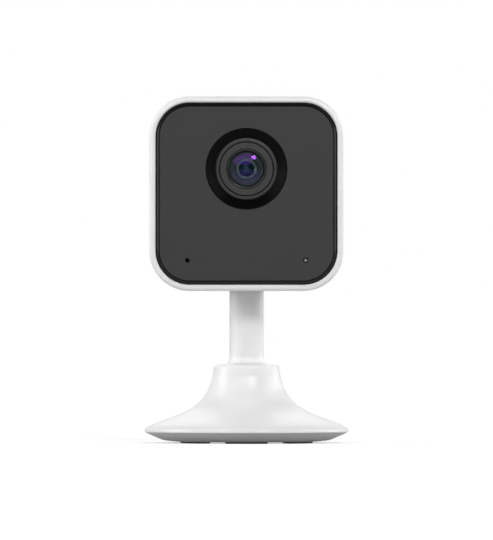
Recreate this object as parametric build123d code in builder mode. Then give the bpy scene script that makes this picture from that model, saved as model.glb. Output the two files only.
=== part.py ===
from build123d import *
import os
from math import cos, pi, radians, sin, sqrt, tan

os.makedirs("parts", exist_ok=True)

# A small indoor security camera: a rounded-square head on a short stem over a trumpet-shaped base.
# Millimetres. Z is up, the floor is z = 0, the camera looks along -Y and the stem stands on the Z axis.

# ------------------------------------------------------------------ fits
running = 0.04          # radial clearance of a shaft that turns in its bore
slip = 0.1              # gap round a piece that drops into a pocket
seat_gap = 0.1          # end play between faces that turn or slide past each other
play = 0.5              # gap between the stem and the walls of the head's slot
overshoot = 1.0         # how far a cut runs past the face it opens

# ------------------------------------------------------------------ base
base_radius = 32.0
rim_bottom = 3.55       # underside of the shell's outer rim above the floor
rim_band = 0.3          # height of the crisp band round the rim
rim_shoulder = 2.7      # run of the rounding between the band and the flare
rim_reach = 1.5         # pull of the rounding's handle along the flare
rim_pull = 0.9          # pull of its handle above the band
flare_end_height = 6.02
flare_angle = 24.0      # slope of the flare where it meets the rim
flare_reach = 8.0       # pull of the flare's outer handle
collar_top = 24.6
collar_radius = 10.1
collar_round = 1.7
collar_foot_radius = 10.65
collar_drop = 3.8       # height of the collar's straight side
collar_angle = 13.2     # draft of the flare where it leaves the collar
flare_drop = 11.3       # pull of the flare's inner handle
shell_wall = 2.0
plate_round = 6.0       # rounding of the underside's two outer bends

plate_rise = 0.45       # the plate's flat underside above the floor
plate_flat_radius = 21.9
plate_toe_radius = 25.9
plate_toe_height = 0.87
rim_lip = 0.45          # width of the shell's lip outside the plate
plate_bend = 1.85       # run of the plate's outermost slope
plate_bend_height = 2.4
plate_edge_height = 3.3
plate_wall = 2.4
plate_edge_width = 1.6  # the plate's raised edge

pad_inner = 17.0
pad_outer = 21.0
pad_half_angle = 18.3
pad_count = 6
first_pad_turn = 270.0  # the first pad lies at the front
pad_inset = 0.5         # depth of the pads' grooves in the plate
screw_ring = 19.0       # base screws, under every other pad
base_screw_count = 3
base_screw_radius = 1.2
base_screw_head_radius = 2.1
base_screw_head = 0.9
base_screw_length = 6.0
boss_wall = 1.5
weight_radius = 24.0
weight_bore = 9.0
weight_thick = 2.4

# ------------------------------------------------------------------ stem
stem_radius = 5.35
stem_reach = 22.8       # from the collar to the head's underside
foot_radius = 5.9
foot_height = 0.7
foot_blend = 1.6
spigot_radius = 4.4
bush_wall = 1.1
bush_flange_radius = 8.0
bush_flange = 1.2
bush_length = 7.0
washer_radius = 7.2
washer_thick = 0.8
swivel_screw_radius = 1.5
swivel_screw_head_radius = 2.8
swivel_screw_head = 1.9
swivel_screw_length = 9.0
insert_radius = 2.4
insert_length = 7.5

# ------------------------------------------------------------------ head
head_width = 60.3
head_height = 60.4
head_depth = 29.0
head_corner = 12.5
head_wall = 1.9
front_round = 1.2
rim_bevel = 0.4         # bevel round the rim's inner edge
rear_round = 6.0
pivot_setback = 20.0    # from the head's front rim to the tilt axis
pivot_rise = 9.0        # from the head's underside to the tilt axis
tilt_down = 15.0        # degrees
pocket_wall = 2.0
pin_radius = 1.5
pin_end = 1.3           # what the pin shows past each clip
clip_radius = 3.2
clip_thick = 0.5
clip_groove = 0.35
friction_washer_radius = 4.6
friction_washer_thick = 1.2
flat_reach = 6.3        # from the tilt axis down to the end of the knuckle's flats

# ------------------------------------------------------------------ front panel
panel_gap = 0.1         # between the panel's frame and the shell
panel_sink = 0.25       # panel face behind the shell's rim
frame_border = 0.95     # width of the frame seen round the window
frame_thick = 2.7
frame_bevel = 0.85      # width of the frame's sloping face
frame_slope = 0.5       # and its depth
hook_spread = 11.0      # snap hooks at the top edge, left and right of centre
hook_width = 6.0
hook_length = 5.0
hook_thick = 1.2
nib_length = 1.4
nib_height = 0.7
window_thick = 1.2
window_gap = 0.2
window_edge = 0.15
lens_rise = 7.7         # lens axis above the head's centre
port_inset = 11.8       # microphone and indicator, from the sides of the head
port_lift = 9.5         # and above its underside
mic_hole_radius = 0.7
indicator_hole_radius = 0.87
light_pipe_radius = 0.45
light_pipe_flange = 1.2
light_pipe_flange_thick = 0.8

# ------------------------------------------------------------------ lens
surround_radius = 12.6
surround_lip = 0.35
surround_throat = 9.85
surround_depth = 1.9
surround_flange = 1.2
surround_tube = 11.4
surround_length = 4.4
trim_inner = 8.55
trim_thick = 1.5
trim_round_share = 0.6  # share of the trim ring's width that its outer rounding takes
trim_shoulder = 0.7
barrel_head_radius = 8.2
barrel_head_length = 4.6
barrel_radius = 6.0
barrel_length = 8.4
barrel_bore = 4.3
mouth_radius = 6.2
mouth_bevel = 0.2
front_ring_bore = 5.6   # ring screwed in over the front glass
front_ring_sink = 0.55  # its outer edge behind the barrel's face
front_ring_dip = 0.3    # and its inner edge behind that
front_ring_round = 0.36
front_glass_radius = 6.0
front_glass_sink = 0.55     # crown of the front glass behind the barrel's face
front_glass_curve = 14.0
front_glass_hollow = 4.6    # radius of the dished back of the front glass
front_glass_thick = 1.2
front_glass_edge = 2.6
baffle_thick = 1.6
baffle_flange = 0.4     # the front glass rests on the baffle's flange
baffle_bore = 2.6
baffle_mouth_run = 0.6  # widening of the bore towards the front glass
baffle_mouth_depth = 0.7
inner_glass_radius = 4.2
middle_glass_curve = 3.4
middle_glass_edge = 1.5
iris_thick = 0.4
iris_hole = 1.3
spacer_thick = 1.2
spacer_wall = 1.0
rear_glass_curve = 8.0
rear_glass_edge = 1.2
rear_ring_thick = 1.2
rear_ring_wall = 0.9
lock_ring_radius = 7.9
lock_ring_thick = 1.6
holder_width = 17.0
holder_base = 4.2
holder_cavity = 2.6
holder_floor = 0.6
holder_aperture = 3.6
holder_tower_radius = 7.6
holder_tower = 5.4
holder_screw_spread = 10.6
holder_ear_radius = 2.4
holder_ear_thick = 1.6
small_screw_radius = 0.8
small_screw_head_radius = 1.5
small_screw_head = 0.8
filter_width = 8.0
filter_thick = 0.6

# ------------------------------------------------------------------ boards and what they carry
board_thick = 1.2
board_gap = 1.0         # between the main board's edge and the shell
board_setback = 19.2    # main board's front face behind the head's rim
notch_corner = 1.5      # main board's notch round the hinge pocket
sensor_width = 9.0
sensor_thick = 1.1
sensor_room = 0.7       # between the sensor and its holder
sensor_glass_width = 7.0
sensor_glass_thick = 0.4
chip_width = 11.0
chip_thick = 1.2
chip_inset = 8.95       # middle of the chips, from the sides of the main board
chip_drop = 1.5
heat_pad_thick = 0.6
sink_width = 13.5
sink_plate = 1.4
fin_height = 4.2
fin_thick = 0.9
fin_count = 5
memory_width = 8.0
memory_height = 11.0
memory_thick = 0.9
shield_width = 13.0
shield_height = 13.0
shield_thick = 2.2
antenna_width = 22.0
antenna_height = 3.6
antenna_thick = 0.4
antenna_reach = 4.0
antenna_leg = 1.2
front_board_side = 5.05     # front board beyond the ports at each side
front_board_height = 8.6
front_board_thick = 1.0
front_board_corner = 2.5
standoff = 1.5
standoff_inset = 4.25   # standoffs, inboard of the ports
standoff_radius = 1.6
front_screw_length = 3.2
ir_led_width = 3.4
ir_led_thick = 1.3
ir_dome_height = 0.9
ir_led_inset = 8.95     # infrared lamps, inboard of the ports
ir_port_radius = 2.4
sense_width = 2.0
sense_thick = 0.7
sense_port_radius = 1.3
indicator_width = 1.6
indicator_thick = 0.5
mic_width = 3.4
mic_height = 2.6
mic_thick = 0.9
post_spread_high = 20.0     # upper posts, left and right of the head's centre
post_rise_high = 20.0
post_spread_low = 21.5      # lower posts, which take the housing screws
post_drop_low = 12.0
post_radius = 2.5
boss_radius = 3.1           # shell's bosses behind the lower posts
post_pilot_depth = 7.0
housing_screw_radius = 1.0
housing_screw_head_radius = 1.9
housing_screw_head = 1.3
housing_screw_length = 14.0
counterbore_depth = 1.7
card_width = 14.0
card_length = 14.5
card_thick = 1.7
card_slot = 12.2
card_slot_height = 1.3
card_back = 1.6
inlet_width = 7.6
inlet_height = 2.7
inlet_wall = 0.35
inlet_corner = 0.85
inlet_tongue = 0.6
tongue_sink = 1.0       # end of the tongue behind the inlet's mouth
inlet_back = 1.0
inlet_recess_width = 11.0
inlet_recess_height = 6.6
inlet_recess_depth = 0.8
inlet_recess_corner = 1.5
inlet_spread = 16.5     # power inlet and reset button, left and right of centre
inlet_drop = 19.2       # and below it
button_radius = 1.4
button_flange_radius = 2.3
button_flange = 0.8
button_sink = 0.3
button_travel = 0.5
button_guide = 1.4
button_guide_radius = 3.0
switch_width = 4.4
switch_thick = 1.5
plunger_radius = 1.1
plunger_height = 0.5
speaker_radius = 10.0
speaker_thick = 3.4
speaker_rise = 12.0
speaker_magnet_radius = 6.5
speaker_rim = 1.2
gasket_thick = 0.6
gasket_width = 2.0
speaker_wall = 1.0
speaker_wall_height = 3.2
grille_hole = 0.7
grille_pitch = 2.6
grille_rings = 2

# ------------------------------------------------------------------ derived places
head_bottom = collar_top + stem_reach
head_z = head_bottom + head_height / 2
pivot_z = head_bottom + pivot_rise
front_y = -pivot_setback
rear_y = front_y + head_depth
inner_rear_y = rear_y - head_wall
panel_y = front_y + panel_sink
frame_back_y = panel_y + frame_thick
pocket_floor_y = panel_y + window_thick
lens_z = head_z + lens_rise
port_spread = head_width / 2 - port_inset
port_z = head_bottom + port_lift
front_board_width = 2 * (port_spread + front_board_side)
standoff_spread = port_spread - standoff_inset
ir_led_spread = port_spread - ir_led_inset
slot_half = stem_radius + play
slot_front_y = -(pivot_rise * tan(radians(tilt_down)) + stem_radius / cos(radians(tilt_down)) + play)
knuckle_half = slot_half - friction_washer_thick - seat_gap
pocket_half = slot_half + pocket_wall
pocket_top = pivot_z + stem_radius + play
panel_width = head_width - 2 * head_wall - 2 * panel_gap
panel_height = head_height - 2 * head_wall - 2 * panel_gap
panel_corner = head_corner - head_wall - panel_gap
window_width = panel_width - 2 * frame_border
window_height = panel_height - 2 * frame_border
window_corner = panel_corner - frame_border
board_y = front_y + board_setback
board_rear_y = board_y + board_thick
front_board_y = frame_back_y + standoff


def facing(y, x=0.0, z=0.0):
    """Plane whose normal points forward (-Y), with local x to the right and local y up."""
    return Plane(origin=(x, y, z), x_dir=(1, 0, 0), z_dir=(0, -1, 0))


def rearward(y, x=0.0, z=0.0):
    """Plane whose normal points back (+Y), with local y up."""
    return Plane(origin=(x, y, z), x_dir=(-1, 0, 0), z_dir=(0, 1, 0))


def finish(part, name):
    """Label a finished piece and write its file."""
    part.label = name
    export_step(part, f"parts/{name}.step")


def turned(points):
    """Solid of revolution about Z from (radius, height) corners."""
    with BuildPart() as piece:
        with BuildSketch(Plane.XZ):
            with BuildLine():
                Polyline(*points, close=True)
            make_face()
        revolve(axis=Axis.Z)
    return piece.part


def spun(points, z):
    """Solid of revolution about the front-to-back line at height z from (radius, y) corners."""
    with BuildPart() as piece:
        with BuildSketch(Plane.XY.offset(z)):
            with BuildLine():
                Polyline(*points, close=True)
            make_face()
        revolve(axis=Axis((0, 0, z), (0, 1, 0)))
    return piece.part


def slab(width, height, thick, y, x, z, corner=0.0):
    """Plate of the given thickness whose back face lies at y, centred at (x, z)."""
    with BuildPart() as piece:
        with BuildSketch(facing(y)):
            with Locations((x, z)):
                if corner:
                    RectangleRounded(width, height, corner)
                else:
                    Rectangle(width, height)
        extrude(amount=thick)
    return piece.part


def screws(places, radius, length, head_radius, head):
    """Pan-head screws; each place is a plane on the head's seat with its normal along the shank."""
    with BuildPart() as piece:
        for place in places:
            with BuildSketch(place):
                Circle(head_radius)
            extrude(amount=-head)
            with BuildSketch(place):
                Circle(radius)
            extrude(amount=length)
            with BuildSketch(place.offset(-head)):
                Rectangle(head_radius * 1.2, head_radius * 0.28)
                Rectangle(head_radius * 0.28, head_radius * 1.2)
            extrude(amount=head * 0.5, mode=Mode.SUBTRACT)
    return piece.part


# ================================================================== BASE
def flare_line(offset_in):
    """Control points of the flare, moved inward from the outer face by offset_in."""
    a, b = radians(collar_angle), radians(flare_angle)
    stretch = 1 + offset_in / (flare_reach + flare_drop)
    end_radius = base_radius - rim_shoulder
    start = (collar_foot_radius - offset_in * cos(a), collar_top - collar_drop - offset_in * sin(a))
    end = (end_radius - offset_in * sin(b), flare_end_height - offset_in * cos(b))
    drop, reach = flare_drop * stretch, flare_reach * stretch
    return [
        start,
        (start[0] + drop * sin(a), start[1] - drop * cos(a)),
        (end[0] - reach * cos(b), end[1] + reach * sin(b)),
        end,
    ]


def pad_blocks(gap):
    """The ring of foot pads, grown by gap on every side."""
    low, high = pad_inner - gap, pad_outer + gap
    half = pad_half_angle + gap * 180 / (pi * pad_outer)
    with BuildPart() as blocks:
        for k in range(pad_count):
            with BuildSketch(Plane.XY.rotated((0, 0, first_pad_turn + k * 360 / pad_count))):
                with BuildLine():
                    CenterArc((0, 0), high, -half, 2 * half)
                    CenterArc((0, 0), low, -half, 2 * half)
                    for end in (-half, half):
                        Line(Vector(low, 0).rotate(Axis.Z, end), Vector(high, 0).rotate(Axis.Z, end))
                make_face()
            extrude(amount=plate_rise + pad_inset)
    return blocks.part


plate_radius = base_radius - rim_lip
bush_bottom = collar_top - bush_length
bush_radius = spigot_radius + running + bush_wall
plate_top = plate_rise + plate_wall
outer = flare_line(0)
inner = flare_line(shell_wall)
plate_edge_top = inner[3][1]
rim_top = rim_bottom + rim_band
screw_spots = [first_pad_turn + k * 360 / base_screw_count for k in range(base_screw_count)]

with BuildPart() as shell_hollow:
    with BuildSketch(Plane.XZ):
        with BuildLine():
            Polyline((0, bush_bottom), (inner[0][0], bush_bottom), inner[0])
            Bezier(*inner)
            Polyline(inner[3], (plate_radius + slip, inner[3][1]), (plate_radius + slip, 0), (0, 0),
                     (0, bush_bottom))
        make_face()
    revolve(axis=Axis.Z)

with BuildPart() as shell_form:
    with BuildSketch(Plane.XZ):
        with BuildLine():
            Polyline((0, rim_bottom), (0, collar_top), (collar_radius, collar_top), outer[0])
            Bezier(*outer)
            Bezier(
                outer[3],
                (outer[3][0] + rim_reach * cos(radians(flare_angle)),
                 outer[3][1] - rim_reach * sin(radians(flare_angle))),
                (base_radius, rim_top + rim_pull),
                (base_radius, rim_top),
            )
            Polyline(
                (base_radius, rim_top), (base_radius, rim_bottom),
                (plate_radius, plate_edge_height), (0, plate_edge_height), (0, rim_bottom),
            )
        make_face()
    revolve(axis=Axis.Z)
    fillet(shell_form.edges().filter_by(GeomType.CIRCLE).group_by(Axis.Z)[-1], collar_round)

with BuildPart() as base_shell:
    add(shell_form.part)
    add(shell_hollow.part, mode=Mode.SUBTRACT)
    with BuildSketch(Plane.XY.offset(bush_bottom)):
        Circle(bush_radius)
    extrude(amount=bush_length, mode=Mode.SUBTRACT)
    # screw bosses, trimmed to the shell's own outline
    with BuildPart(mode=Mode.PRIVATE) as bosses:
        with BuildSketch(Plane.XY.offset(plate_top)):
            with PolarLocations(screw_ring, base_screw_count, start_angle=screw_spots[0]):
                Circle(base_screw_radius + boss_wall)
        extrude(amount=collar_top)
        add(shell_form.part, mode=Mode.INTERSECT)
    add(bosses.part)
    with BuildSketch(Plane.XY.offset(plate_top)):
        with PolarLocations(screw_ring, base_screw_count, start_angle=screw_spots[0]):
            Circle(base_screw_radius)
    extrude(amount=base_screw_length - (plate_top - plate_rise - pad_inset - base_screw_head) + slip,
            mode=Mode.SUBTRACT)
finish(base_shell.part, "base_shell")

head_seat = plate_rise + pad_inset + base_screw_head

with BuildPart() as base_plate:
    with BuildSketch(Plane.XZ):
        with BuildLine():
            Polyline(
                (0, plate_rise), (plate_flat_radius, plate_rise), (plate_toe_radius, plate_toe_height),
                (plate_radius - plate_bend, plate_bend_height), (plate_radius, plate_edge_height),
                (plate_radius, plate_edge_top),
                (plate_radius - plate_edge_width, plate_edge_top), (plate_toe_radius, plate_top),
                (0, plate_top), close=True,
            )
        make_face()
    revolve(axis=Axis.Z)
    hoops = base_plate.edges().filter_by(GeomType.CIRCLE).group_by(Axis.Z)
    fillet(hoops[0] + hoops[1], plate_round)
    add(pad_blocks(slip), mode=Mode.SUBTRACT)
    with BuildSketch(Plane.XY):
        with PolarLocations(screw_ring, base_screw_count, start_angle=screw_spots[0]):
            Circle(base_screw_head_radius + slip)
    extrude(amount=head_seat, mode=Mode.SUBTRACT)
    with BuildSketch(Plane.XY):
        with PolarLocations(screw_ring, base_screw_count, start_angle=screw_spots[0]):
            Circle(base_screw_radius + slip)
    extrude(amount=plate_top + 1, mode=Mode.SUBTRACT)
finish(base_plate.part, "base_plate")

with BuildPart() as weight_plate:
    with BuildSketch(Plane.XY.offset(plate_top)):
        Circle(weight_radius)
        Circle(weight_bore, mode=Mode.SUBTRACT)
        with PolarLocations(screw_ring, base_screw_count, start_angle=screw_spots[0]):
            Circle(base_screw_radius + boss_wall + slip, mode=Mode.SUBTRACT)
    extrude(amount=weight_thick)
finish(weight_plate.part, "weight_plate")

finish(pad_blocks(0), "foot_pads")

screw_places = [
    Plane(origin=(screw_ring * cos(radians(t)), screw_ring * sin(radians(t)), head_seat), z_dir=(0, 0, 1))
    for t in screw_spots
]
finish(screws(screw_places, base_screw_radius, base_screw_length, base_screw_head_radius, base_screw_head),
       "base_screws")

finish(turned([
    (spigot_radius + running, bush_bottom - bush_flange), (bush_flange_radius, bush_bottom - bush_flange),
    (bush_flange_radius, bush_bottom), (bush_radius, bush_bottom), (bush_radius, collar_top),
    (spigot_radius + running, collar_top),
]), "collar_bush")

# ================================================================== STEM
stem_foot_z = collar_top + seat_gap
spigot_bottom = bush_bottom - bush_flange - seat_gap
knuckle_z = pivot_z - flat_reach

with BuildPart() as stem:
    with BuildSketch(Plane.XZ):
        with BuildLine():
            Polyline(
                (0, spigot_bottom), (spigot_radius, spigot_bottom), (spigot_radius, stem_foot_z),
                (foot_radius, stem_foot_z), (foot_radius, stem_foot_z + foot_height),
            )
            Spline(
                (foot_radius, stem_foot_z + foot_height),
                (stem_radius, stem_foot_z + foot_height + foot_blend),
                tangents=[(-0.6, 1), (0, 1)],
            )
            Polyline(
                (stem_radius, stem_foot_z + foot_height + foot_blend), (stem_radius, pivot_z), (0, pivot_z),
                (0, spigot_bottom),
            )
        make_face()
    revolve(axis=Axis.Z)
    # rounded knuckle about the tilt axis
    with BuildSketch(Plane.YZ.offset(-knuckle_half)):
        with Locations((0, pivot_z)):
            Circle(stem_radius)
    extrude(amount=2 * knuckle_half)
    # flats for the friction washers
    with BuildSketch(Plane.XY.offset(knuckle_z)):
        Rectangle(4 * stem_radius, 4 * stem_radius)
        Rectangle(2 * knuckle_half, 4 * stem_radius, mode=Mode.SUBTRACT)
    extrude(amount=2 * stem_radius + flat_reach, mode=Mode.SUBTRACT)
    with BuildSketch(Plane.YZ.offset(-2 * stem_radius)):
        with Locations((0, pivot_z)):
            Circle(pin_radius + running)
    extrude(amount=4 * stem_radius, mode=Mode.SUBTRACT)
    # bore for the threaded insert, with room for the screw's end
    with BuildSketch(Plane.XY.offset(spigot_bottom)):
        Circle(insert_radius)
    extrude(amount=insert_length, mode=Mode.SUBTRACT)
    with BuildSketch(Plane.XY.offset(spigot_bottom)):
        Circle(swivel_screw_radius + slip)
    extrude(amount=swivel_screw_length + 1, mode=Mode.SUBTRACT)
finish(stem.part, "stem")

finish(turned([
    (swivel_screw_radius, spigot_bottom), (insert_radius, spigot_bottom),
    (insert_radius, spigot_bottom + insert_length), (swivel_screw_radius, spigot_bottom + insert_length),
]), "stem_insert")

finish(turned([
    (swivel_screw_radius + slip, spigot_bottom - washer_thick),
    (washer_radius, spigot_bottom - washer_thick),
    (washer_radius, spigot_bottom), (swivel_screw_radius + slip, spigot_bottom),
]), "swivel_washer")

finish(screws([Plane(origin=(0, 0, spigot_bottom - washer_thick), z_dir=(0, 0, 1))], swivel_screw_radius,
              swivel_screw_length, swivel_screw_head_radius, swivel_screw_head), "swivel_screw")

# ================================================================== HEAD SHELL
post_places = [(s * post_spread_high, head_z + post_rise_high) for s in (-1, 1)]
low_places = [(s * post_spread_low, head_z - post_drop_low) for s in (-1, 1)]
inlet_z = head_z - inlet_drop
speaker_z = head_z + speaker_rise
card_y = board_rear_y + card_thick / 2
nib_y = frame_back_y + hook_length - nib_length / 2
board_width = head_width - 2 * head_wall - 2 * board_gap
chip_spread = board_width / 2 - chip_inset
board_height = head_height - 2 * head_wall - 2 * board_gap

with BuildPart() as hinge_pocket:
    with BuildSketch(Plane.XY.offset(head_bottom)):
        with Locations((0, (slot_front_y - pocket_wall + rear_y) / 2)):
            Rectangle(2 * pocket_half, rear_y - slot_front_y + pocket_wall)
    extrude(amount=pocket_top + pocket_wall - head_bottom)

with BuildPart() as head_hollow:
    with BuildSketch(facing(front_y, z=head_z)):
        RectangleRounded(head_width - 2 * head_wall, head_height - 2 * head_wall, head_corner - head_wall)
    extrude(amount=-(head_depth - head_wall))
    fillet(head_hollow.faces().sort_by(Axis.Y)[-1].edges(), rear_round - head_wall)
    add(hinge_pocket.part, mode=Mode.SUBTRACT)

with BuildPart() as rear_housing:
    with BuildSketch(facing(front_y, z=head_z)):
        RectangleRounded(head_width, head_height, head_corner)
    extrude(amount=-head_depth)
    fillet(rear_housing.faces().sort_by(Axis.Y)[-1].edges(), rear_round)
    fillet(rear_housing.faces().sort_by(Axis.Y)[0].edges(), front_round)
    add(head_hollow.part, mode=Mode.SUBTRACT)
    chamfer(rear_housing.faces().sort_by(Axis.Y)[0].inner_wires()[0].edges(), rim_bevel)
    # pocket the stem's knuckle turns in, open below
    with BuildSketch(Plane.XY.offset(head_bottom - 1)):
        with Locations((0, (slot_front_y + slot_half) / 2)):
            Rectangle(2 * slot_half, slot_half - slot_front_y)
    extrude(amount=pocket_top - head_bottom + 1, mode=Mode.SUBTRACT)
    # slot through the back, round at its upper end
    with BuildSketch(facing(slot_half - 0.5)):
        with Locations((0, (head_bottom - 1 + pivot_z) / 2)):
            Rectangle(2 * slot_half, pivot_z - head_bottom + 1)
        with Locations((0, pivot_z)):
            Circle(slot_half)
    extrude(amount=-head_depth, mode=Mode.SUBTRACT)
    with BuildSketch(Plane.YZ.offset(-pocket_half)):
        with Locations((0, pivot_z)):
            Circle(pin_radius)
    extrude(amount=2 * pocket_half, mode=Mode.SUBTRACT)
    # bosses for the two long screws
    with BuildSketch(facing(inner_rear_y)):
        with Locations(*low_places):
            Circle(boss_radius)
    extrude(amount=inner_rear_y - board_rear_y)
    with BuildSketch(rearward(rear_y)):
        with Locations(*low_places):
            Circle(housing_screw_head_radius + 2 * slip)
    extrude(amount=-counterbore_depth, mode=Mode.SUBTRACT)
    with BuildSketch(rearward(rear_y)):
        with Locations(*low_places):
            Circle(housing_screw_radius + slip)
    extrude(amount=-head_depth / 2, mode=Mode.SUBTRACT)
    # ring that holds the speaker, and its grille
    with BuildSketch(facing(inner_rear_y)):
        with Locations((0, speaker_z)):
            Circle(speaker_radius + slip + speaker_wall)
            Circle(speaker_radius + slip, mode=Mode.SUBTRACT)
    extrude(amount=speaker_wall_height)
    with BuildSketch(rearward(rear_y + overshoot)):
        with Locations((0, speaker_z)):
            Circle(grille_hole)
            for ring in range(1, grille_rings + 1):
                with PolarLocations(ring * grille_pitch, 6 * ring):
                    Circle(grille_hole)
    extrude(amount=-(head_wall + 2 * overshoot), mode=Mode.SUBTRACT)
    # power inlet opening in a shallow recess
    with BuildSketch(rearward(rear_y)):
        with Locations((-inlet_spread, inlet_z)):
            RectangleRounded(inlet_recess_width, inlet_recess_height, inlet_recess_corner)
    extrude(amount=-inlet_recess_depth, mode=Mode.SUBTRACT)
    with BuildSketch(rearward(rear_y)):
        with Locations((-inlet_spread, inlet_z)):
            RectangleRounded(inlet_width + 2 * slip, inlet_height + 2 * slip, inlet_corner + slip / 2)
    extrude(amount=-2 * head_wall, mode=Mode.SUBTRACT)
    # guide of the reset button
    with BuildSketch(facing(inner_rear_y)):
        with Locations((-inlet_spread, inlet_z)):
            Circle(button_guide_radius)
    extrude(amount=button_guide)
    with BuildSketch(rearward(rear_y)):
        with Locations((inlet_spread, inlet_z)):
            Circle(button_radius + running + 0.05)
    extrude(amount=-2 * (head_wall + button_guide), mode=Mode.SUBTRACT)
    # card slot in the side
    with BuildSketch(Plane.YZ.offset(head_width / 2 - 2 * head_wall)):
        with Locations((card_y, head_z)):
            RectangleRounded(card_slot_height, card_slot, 0.4)
    extrude(amount=3 * head_wall, mode=Mode.SUBTRACT)
    # catches for the front frame's snap hooks
    with BuildSketch(Plane.XY.offset(head_bottom + head_height - head_wall - 1)):
        with Locations(*[(side * hook_spread, nib_y) for side in (-1, 1)]):
            Rectangle(hook_width + 2 * slip, nib_length + 2 * slip)
    extrude(amount=1 + nib_height + slip, mode=Mode.SUBTRACT)
finish(rear_housing.part, "rear_housing")

# ================================================================== HINGE
clip_x = pocket_half + seat_gap
pin_half = clip_x + clip_thick + pin_end

with BuildPart() as hinge_pin:
    with BuildSketch(Plane.YZ.offset(-pin_half)):
        with Locations((0, pivot_z)):
            Circle(pin_radius)
    extrude(amount=2 * pin_half)
    for start in (clip_x, -clip_x - clip_thick):
        with BuildSketch(Plane.YZ.offset(start)):
            with Locations((0, pivot_z)):
                Circle(2 * pin_radius)
                Circle(pin_radius - clip_groove, mode=Mode.SUBTRACT)
        extrude(amount=clip_thick, mode=Mode.SUBTRACT)
finish(hinge_pin.part, "hinge_pin")

with BuildPart() as hinge_clips:
    for start in (clip_x, -clip_x - clip_thick):
        with BuildSketch(Plane.YZ.offset(start)):
            with Locations((0, pivot_z)):
                Circle(clip_radius)
                Circle(pin_radius - clip_groove, mode=Mode.SUBTRACT)
            with Locations((0, pivot_z - clip_radius)):
                Rectangle(2 * (pin_radius - clip_groove), 2 * clip_radius, mode=Mode.SUBTRACT)
        extrude(amount=clip_thick)
finish(hinge_clips.part, "hinge_clips")

with BuildPart() as friction_washers:
    for start in (slot_half - friction_washer_thick, -slot_half):
        with BuildSketch(Plane.YZ.offset(start)):
            with Locations((0, pivot_z)):
                Circle(friction_washer_radius)
                Circle(pin_radius, mode=Mode.SUBTRACT)
        extrude(amount=friction_washer_thick)
finish(friction_washers.part, "friction_washers")

# ================================================================== FRONT PANEL
face_y = panel_y + surround_depth
standoff_places = [(side * standoff_spread, port_z) for side in (-1, 1)]

with BuildPart() as front_frame:
    with BuildSketch(facing(panel_y, z=head_z)):
        RectangleRounded(panel_width, panel_height, panel_corner)
    extrude(amount=-frame_thick)
    frame_face = front_frame.faces().sort_by(Axis.Y)[0]
    chamfer(frame_face.edges(), frame_bevel, frame_slope, reference=frame_face)
    with BuildSketch(facing(pocket_floor_y, z=head_z)):
        RectangleRounded(window_width, window_height, window_corner)
    extrude(amount=2 * window_thick, mode=Mode.SUBTRACT)
    # openings for the lens, the infrared lamps, the light sensor, the microphone and the indicator
    with BuildSketch(facing(frame_back_y)):
        with Locations((0, lens_z)):
            Circle(surround_tube + slip)
        with Locations(*[(side * ir_led_spread, port_z) for side in (-1, 1)]):
            Circle(ir_port_radius)
        with Locations((0, port_z)):
            Circle(sense_port_radius)
        with Locations((-port_spread, port_z)):
            Circle(mic_hole_radius)
        with Locations((port_spread, port_z)):
            Circle(indicator_hole_radius)
    extrude(amount=frame_thick, mode=Mode.SUBTRACT)
    # posts for the main board and standoffs for the front board
    with BuildSketch(facing(board_y)):
        with Locations(*post_places, *low_places):
            Circle(post_radius)
    extrude(amount=board_y - frame_back_y)
    with BuildSketch(facing(board_y)):
        with Locations(*post_places):
            Circle(small_screw_radius)
        with Locations(*low_places):
            Circle(housing_screw_radius)
    extrude(amount=post_pilot_depth, mode=Mode.SUBTRACT)
    with BuildSketch(facing(front_board_y)):
        with Locations(*standoff_places):
            Circle(standoff_radius)
    extrude(amount=standoff)
    with BuildSketch(facing(front_board_y)):
        with Locations(*standoff_places):
            Circle(small_screw_radius)
    extrude(amount=front_screw_length - front_board_thick + slip, mode=Mode.SUBTRACT)
    # snap hooks at the top edge
    hook_top = head_z + panel_height / 2
    with BuildSketch(Plane.XY.offset(hook_top - hook_thick)):
        with Locations(*[(side * hook_spread, frame_back_y + hook_length / 2) for side in (-1, 1)]):
            Rectangle(hook_width, hook_length)
    extrude(amount=hook_thick)
    with BuildSketch(Plane.XY.offset(hook_top)):
        with Locations(*[(side * hook_spread, nib_y) for side in (-1, 1)]):
            Rectangle(hook_width, nib_length)
    extrude(amount=nib_height)
finish(front_frame.part, "front_frame")

with BuildPart() as front_window:
    with BuildSketch(facing(panel_y, z=head_z)):
        RectangleRounded(window_width - 2 * window_gap, window_height - 2 * window_gap,
                         window_corner - window_gap)
    extrude(amount=-window_thick)
    chamfer(front_window.faces().sort_by(Axis.Y)[0].edges(), window_edge)
    with BuildSketch(facing(pocket_floor_y)):
        with Locations((0, lens_z)):
            Circle(surround_radius + slip)
        with Locations((-port_spread, port_z)):
            Circle(mic_hole_radius)
        with Locations((port_spread, port_z)):
            Circle(indicator_hole_radius)
    extrude(amount=2 * window_thick, mode=Mode.SUBTRACT)
finish(front_window.part, "front_window")

with BuildPart() as light_pipe:
    with BuildSketch(facing(frame_back_y)):
        with Locations((port_spread, port_z)):
            Circle(light_pipe_radius)
    extrude(amount=frame_thick)
    with BuildSketch(facing(frame_back_y)):
        with Locations((port_spread, port_z)):
            Circle(light_pipe_flange)
    extrude(amount=-light_pipe_flange_thick)
finish(light_pipe.part, "light_pipe")

# ================================================================== LENS
trim_seat_y = face_y + trim_thick
surround_end_y = panel_y + surround_length
finish(spun([
    (surround_radius, panel_y), (surround_radius, panel_y + surround_flange),
    (surround_tube, panel_y + surround_flange), (surround_tube, surround_end_y),
    (surround_throat - trim_shoulder, surround_end_y), (surround_throat - trim_shoulder, trim_seat_y),
    (surround_throat, trim_seat_y), (surround_throat, face_y), (surround_radius - surround_lip, panel_y),
], lens_z), "lens_surround")

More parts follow.
